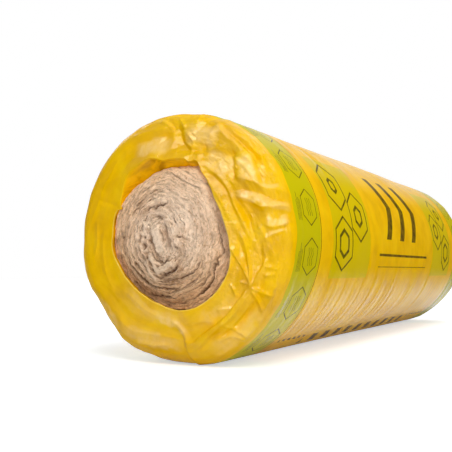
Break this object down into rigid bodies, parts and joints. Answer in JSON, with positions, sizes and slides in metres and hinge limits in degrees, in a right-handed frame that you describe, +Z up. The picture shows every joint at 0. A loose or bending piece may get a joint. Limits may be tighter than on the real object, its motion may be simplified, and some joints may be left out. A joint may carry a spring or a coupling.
{
  "type": "insulation roll",
  "caption": "Tight roll of mineral wool blanket in a printed film sleeve drawn over both ends, leaving an uneven opening where the spiral of turns shows; thermal insulation for lofts and walls.",
  "frame": {"origin": "on the floor under the middle of the roll", "axes": "+X along the roll from the end shown in the picture to the other end, +Z up"},
  "size_m": [1.2, 0.4, 0.3999],
  "materials": {
    "wool": "matted mineral wool, beige brown",
    "film": "glossy yellow polyethylene film, printed green and black"
  },
  "bodies": {
    "root": {"wool_roll": "wool", "film_wrap": "film"}
  },
  "joints": []
}
